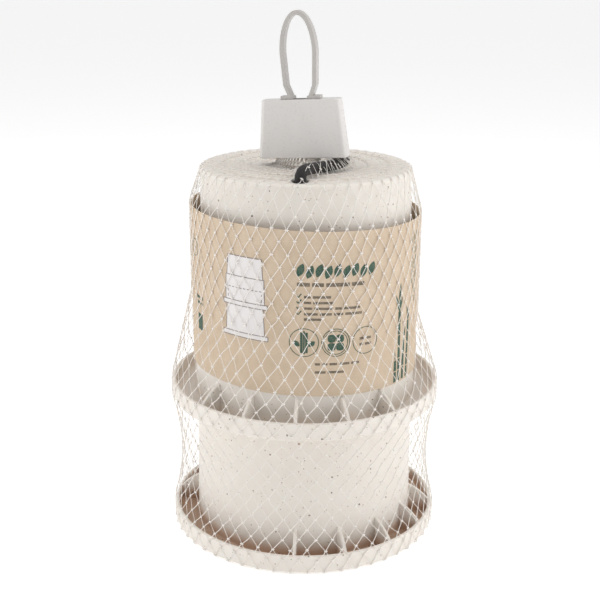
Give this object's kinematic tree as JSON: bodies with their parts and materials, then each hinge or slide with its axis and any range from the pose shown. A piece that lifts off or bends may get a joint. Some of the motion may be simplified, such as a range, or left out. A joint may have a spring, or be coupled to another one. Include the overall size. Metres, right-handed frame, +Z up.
{
  "type": "bucket stilts in net bag",
  "caption": "Nested pair of upturned-cup stilts for children, with a hand cord and a card band, held in a net bag under a hanger clip.",
  "frame": {"origin": "centre of the base, on the surface that the pack stands on", "axes": "+Z up through both stilts to the hanging loop, -Y towards the front of the card band, +X to its right"},
  "size_m": [0.1518, 0.1518, 0.2882],
  "materials": {
    "stilt_plastic": "moulded bioplastic, satin, flecked with brown fibre specks",
    "kraft_card": "uncoated kraft card, printed",
    "black_cord": "braided synthetic cord",
    "white_net": "knotless diamond net, semi-gloss",
    "clip_metal": "plain crimped strip",
    "hanger_plastic": "moulded, light grey"
  },
  "bodies": {
    "net_bag": {"net_waist": "white_net", "net_base": "white_net", "net_tail": "white_net", "base_clip": "clip_metal"},
    "lower_stilt": {"lower_stilt": "stilt_plastic"},
    "upper_stilt": {"upper_stilt": "stilt_plastic", "net_upper": "white_net", "hand_cord": "black_cord", "hand_cord_coil": "black_cord", "cord_knot_front": "black_cord", "cord_knot_end": "black_cord"},
    "label_band": {"label_band": "kraft_card"},
    "net_neck": {"net_neck": "white_net"},
    "hanger": {"hanger_sleeve": "hanger_plastic", "hanger_loop": "hanger_plastic", "net_bunch": "white_net"}
  },
  "joints": [
    {"name": "lower_stilt_turn", "type": "hinge", "parent": "net_bag", "child": "lower_stilt", "pos_m": [0, 0, 0.01], "axis": [0, 0, 1], "continuous": true},
    {"name": "upper_stilt_lift", "type": "slide", "parent": "net_bag", "child": "upper_stilt", "axis": [0, 0, 1], "range_m": [0, 0.012]},
    {"name": "label_turn", "type": "hinge", "parent": "upper_stilt", "child": "label_band", "pos_m": [0, 0, 0.14], "axis": [0, 0, 1], "range_deg": [-10, 10]},
    {"name": "clip_twist", "type": "hinge", "parent": "upper_stilt", "child": "net_neck", "pos_m": [-0.0007, -0.014, 0.21], "axis": [0, 0, 1], "range_deg": [-25, 25]},
    {"name": "clip_tilt", "type": "hinge", "parent": "net_neck", "child": "hanger", "pos_m": [0.00084, -0.00872, 0.2133], "axis": [0.9579, -0.2801, 0.0628], "range_deg": [-25, 0]}
  ]
}
